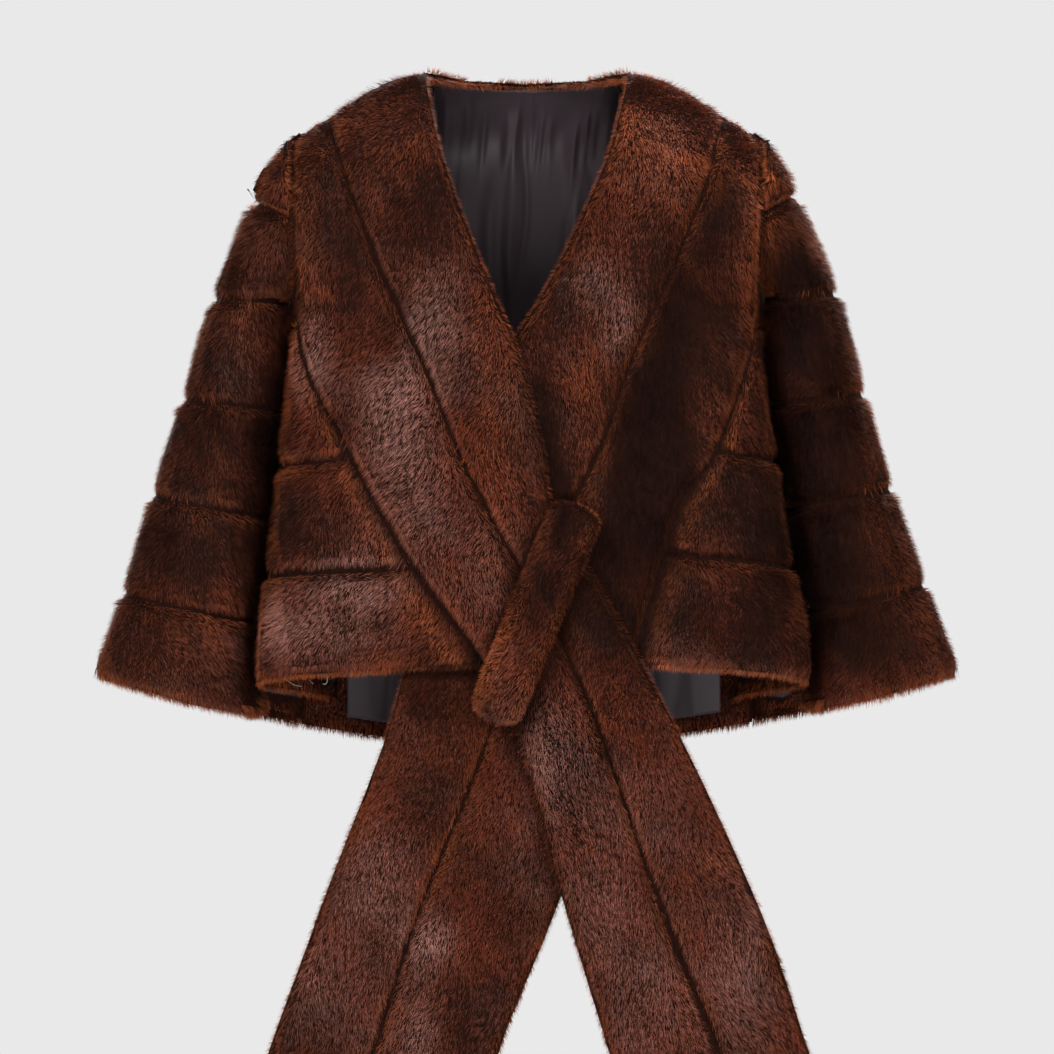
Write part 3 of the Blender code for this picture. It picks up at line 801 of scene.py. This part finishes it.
def undercoat_object(pelt, fur, cloth):
    """The pelt's body: dense underfur outside and, inside, a darker copy of the lining cloth, which is
    painted shade. Its seams reach to the next pelt.
    """
    points = pelt.points.copy()
    share = np.zeros(len(points))
    used = np.zeros(len(points))
    fur_face = pelt.furred() > 0
    np.add.at(share, pelt.faces.ravel(), np.repeat(fur_face & ~pelt.rim, 3).astype(float))
    np.add.at(used, pelt.faces.ravel(), 1.0)
    share = share / np.maximum(used, 1)
    sink = (pelt.depth - SKIN) * (1 - UNDERCOAT) * np.clip(share * UNDERCOAT_SPREAD, 0, 1)
    points -= pelt.normals * np.clip(sink, 0, WALL / 2)[:, None]
    seam = pelt.rim & ~pelt.free
    out = np.zeros_like(points)
    count = np.zeros(len(points))
    reach = pelt.face_normals[seam] * (pelt.gap[seam] / 2 + SEAM_CLOSING)[:, None]
    np.add.at(out, pelt.faces[seam].ravel(), np.repeat(reach, 3, 0))
    np.add.at(count, pelt.faces[seam].ravel(), 1)
    points += out / np.maximum(count, 1)[:, None]
    mesh = bpy.data.meshes.new(pelt.name + "_pelt")
    mesh.from_pydata(points.tolist(), [], pelt.polygons)
    inside = np.ones(len(pelt.polygons), bool)
    inside[pelt.polygon_of[fur_face | pelt.rim]] = False
    mesh.materials.append(fur)
    mesh.materials.append(cloth)
    mesh.polygons.foreach_set("material_index", inside.astype(np.int32))
    mesh.polygons.foreach_set("use_smooth", np.ones(len(pelt.polygons), bool))
    return linked(pelt.name + "_pelt", mesh)


def crease_field(x, z):
    """The lining's creases: long folds from the neck seam, short puckers under it, ripples at the hem."""
    rng = np.random.default_rng(SEED + 5)
    depth = np.zeros_like(x)
    for _ in range(FOLDS):
        middle, lean = rng.uniform(-0.17, 0.18), rng.normal(0, 0.07)
        top, length = rng.uniform(-0.16, 0.0), rng.uniform(0.08, 0.3)
        width, height = rng.uniform(0.003, 0.008), rng.uniform(0.4, 1.0)
        height *= rng.choice([-1, 1], p=[0.4, 0.6])
        line = middle + lean * (z - top) + 0.003 * np.sin(z * 40 + middle * 90)
        shape = np.exp(-(((x - line) / width) ** 2))
        fade = 1 / (1 + np.exp((z - top) / 0.012)) / (1 + np.exp((top - length - z) / 0.02))
        depth += height * shape * fade
    for _ in range(PUCKERS):
        middle, top = rng.uniform(-0.1, 0.1), rng.uniform(-0.03, 0.0)
        width, length = rng.uniform(0.0022, 0.0045), rng.uniform(0.015, 0.06)
        shape = np.exp(-(((x - middle - 0.1 * (z - top)) / width) ** 2))
        fade = 1 / (1 + np.exp((z - top) / 0.004)) / (1 + np.exp((top - length - z) / 0.008))
        depth += rng.uniform(0.3, 0.8) * shape * fade
    for _ in range(HEM_RIPPLES):
        middle, lean = rng.uniform(-0.18, 0.18), rng.normal(0, 0.12)
        top, width = rng.uniform(-0.60, -0.50), rng.uniform(0.004, 0.010)
        shape = np.exp(-(((x - middle - lean * (z - top)) / width) ** 2))
        depth += rng.uniform(-0.8, 0.8) * shape / (1 + np.exp((z - top) / 0.015))
    return depth


def probed_grid(points, tree):
    """The lining's surface as columns across it, each even along its run from hem to neck."""
    low, high = points.min(0), points.max(0)
    grid = np.zeros((LINING_COLUMNS, LINING_ROWS, 3))
    grid[..., 0] = np.linspace(low[0] + LINING_MARGIN, high[0] - LINING_MARGIN, LINING_COLUMNS)[:, None]
    for column in grid:
        heights = []
        for z in np.arange(low[2], high[2], LINING_PROBE):
            hit = tree.ray_cast(Vector((column[0, 0], -0.12, z)), Vector((0, 1, 0)), 0.4)
            if hit[0] is not None:
                heights.append((z, hit[0][1]))
        line = np.array(heights)
        steps = np.hypot(np.diff(line[:, 0]), np.diff(line[:, 1]))
        run = np.concatenate([[0], np.cumsum(steps)])
        at = np.linspace(0, run[-1], LINING_ROWS)
        column[:, 1] = np.interp(at, run, line[:, 1])
        column[:, 2] = np.interp(at, run, line[:, 0])
    for _ in range(LINING_SMOOTHING):
        across, along = grid[..., 1], grid[..., 1:]
        across[1:-1] = (across[:-2] + 2 * across[1:-1] + across[2:]) / 4
        along[:, 1:-1] = (along[:, :-2] + 2 * along[:, 1:-1] + along[:, 2:]) / 4
    return grid


def lining_object(node, cloth):
    """The back lining as a thin creased shell on its node."""
    points, faces = welded(*arrays_of(node.data))
    grid = probed_grid(points, BVHTree.FromPolygons(points.tolist(), faces.tolist()))
    normals = unit(np.cross(np.gradient(grid, axis=0), np.gradient(grid, axis=1)))
    if normals[LINING_COLUMNS // 2, LINING_ROWS // 2, 1] > 0:
        normals = -normals
    front = grid + normals * (crease_field(grid[..., 0], grid[..., 2]) * CREASE_HEIGHT)[..., None]
    behind = front - normals * LINING_THICKNESS
    size = LINING_COLUMNS * LINING_ROWS
    number = np.arange(size).reshape(LINING_COLUMNS, LINING_ROWS)
    quads = np.stack([number[:-1, :-1], number[1:, :-1], number[1:, 1:], number[:-1, 1:]], -1).reshape(-1, 4)
    edge = np.concatenate([number[:, 0], number[-1, 1:], number[-2::-1, -1], number[0, -2:0:-1]])
    after = np.roll(edge, -1)
    rim = np.stack([edge, edge + size, after + size, after], -1)
    every = np.concatenate([quads, quads[:, ::-1] + size, rim])
    shell = np.concatenate([front.reshape(-1, 3), behind.reshape(-1, 3)])
    mesh = mesh_from("back_lining_cloth", shell, every)
    mesh.polygons.foreach_set("use_smooth", np.ones(len(every), bool))
    mesh.materials.append(cloth)
    return linked("back_lining_cloth", mesh)


def tube_object(name, path, radius, material, sides=10):
    """A round wire along a path."""
    path = np.array(path, float)
    tangents = unit(np.gradient(path, axis=0))
    up = np.array([0.13, 0.97, 0.21])
    one = unit(np.cross(tangents, up))
    two = np.cross(tangents, one)
    angles = np.linspace(0, 2 * math.pi, sides, endpoint=False)
    rings = path[:, None] + radius * (
        one[:, None] * np.cos(angles)[None, :, None] + two[:, None] * np.sin(angles)[None, :, None]
    )
    count = len(path)
    faces = []
    for i in range(count - 1):
        for k in range(sides):
            after = (k + 1) % sides
            low, high = i * sides, (i + 1) * sides
            faces.append((low + k, low + after, high + after, high + k))
    faces.append(tuple(range(sides - 1, -1, -1)))
    faces.append(tuple((count - 1) * sides + k for k in range(sides)))
    mesh = bpy.data.meshes.new(name)
    mesh.from_pydata(rings.reshape(-1, 3).tolist(), [], faces)
    mesh.polygons.foreach_set("use_smooth", np.ones(len(faces), bool))
    mesh.materials.append(material)
    return linked(name, mesh)


def add_fasteners(everything, metal):
    """A fur hook and the eye that it takes, on the hem's turned-in fur at the left."""
    pieces = []
    for name, path, radius in FASTENERS:
        line = np.array(path, float) / 1000
        spans = np.linspace(0, len(line) - 1, 6 * (len(line) - 1) + 1)
        x, z = (np.interp(spans, np.arange(len(line)), line[:, k]) for k in (0, 1))
        for _ in range(FASTENER_SMOOTHING):
            x[1:-1] = (x[:-2] + 2 * x[1:-1] + x[2:]) / 4
            z[1:-1] = (z[:-2] + 2 * z[1:-1] + z[2:]) / 4
        hit = everything.ray_cast(Vector((x.mean(), -0.3, z.mean())), Vector((0, 1, 0)), 0.6)
        y = np.full(len(x), hit[0].y - FASTENER_LIFT)
        pieces.append(tube_object(name, np.stack([x, y, z], -1), radius, metal))
    return pieces


def add_light(name, place, aim, size, power):
    light = bpy.data.lights.new(name, "AREA")
    light.shape = "RECTANGLE"
    light.size, light.size_y = size
    light.energy = power
    thing = linked(name, light)
    thing.location = place
    thing.rotation_euler = (Vector(aim) - Vector(place)).to_track_quat("-Z", "Y").to_euler()


def add_world():
    """The camera sees an even pale grey, and a dimmer one lights the object, so that its lights model it."""
    world = bpy.data.worlds.new("studio")
    world.use_nodes = True
    tree = world.node_tree
    seen = tree.nodes["Background"]
    seen.inputs["Color"].default_value = (*BACKGROUND, 1)
    ambient = tree.nodes.new("ShaderNodeBackground")
    ambient.inputs["Color"].default_value = (*AMBIENT, 1)
    path = tree.nodes.new("ShaderNodeLightPath")
    mix = tree.nodes.new("ShaderNodeMixShader")
    tree.links.new(path.outputs["Is Camera Ray"], mix.inputs["Fac"])
    tree.links.new(ambient.outputs["Background"], mix.inputs[1])
    tree.links.new(seen.outputs["Background"], mix.inputs[2])
    tree.links.new(mix.outputs["Shader"], tree.nodes["World Output"].inputs["Surface"])
    bpy.context.scene.world = world
    bpy.context.scene.view_settings.view_transform = "Standard"


def add_surroundings():
    add_world()
    floor, tree, shader = principled("floor_pale", (0.55, 0.55, 0.55), 0.8)
    noise_colour(tree, shader, (0.54, 0.54, 0.54), (0.56, 0.56, 0.56), 3)
    mesh = bpy.data.meshes.new("floor")
    corners = [(x * FLOOR_HALF, y * FLOOR_HALF, FLOOR_Z) for x, y in ((-1, -1), (1, -1), (1, 1), (-1, 1))]
    mesh.from_pydata(corners, [], [(0, 1, 2, 3)])
    mesh.materials.append(floor)
    linked("floor", mesh)
    for row in LIGHTS:
        add_light(*row)


def main():
    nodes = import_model()["nodes"]
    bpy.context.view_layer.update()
    add_camera()
    add_surroundings()
    strands, undercoat = strand_material(), undercoat_material()
    satin, cloth = lining_material("lining_satin", 1.0), lining_material("pelt_lining", PELT_LINING_SHADE)
    rng = np.random.default_rng(SEED)
    waves = {name: Waves(rng, size, count) for name, size, count in WAVES}
    everything = tree_of(nodes, nodes)
    others = {}
    for group in sorted({group_of(name) for name in nodes}):
        others[group] = tree_of(nodes, [name for name in nodes if group_of(name) != group])

    lining = lining_object(nodes["back_lining"], satin)
    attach(lining, "root")
    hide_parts("back_lining")

    tucks = {side: Tuck(nodes, side) for side in ("left", "right")}
    names = [name for name in sorted(nodes) if name != "back_lining"]
    pelts = [Pelt(name, nodes[name], everything, others[group_of(name)], tucks) for name in names]
    share = ALL_STRANDS / sum((pelt.furred() * pelt.areas).sum() for pelt in pelts)
    for pelt in pelts:
        body = undercoat_object(pelt, undercoat, cloth)
        hair = strand_object(pelt.name + "_fur", *grow_strands(pelt, rng, waves, share), strands)
        for piece in (body, hair):
            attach(piece, "root")
        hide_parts(pelt.name)
    for piece in add_fasteners(everything, metal_material()):
        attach(piece, "root")


main()
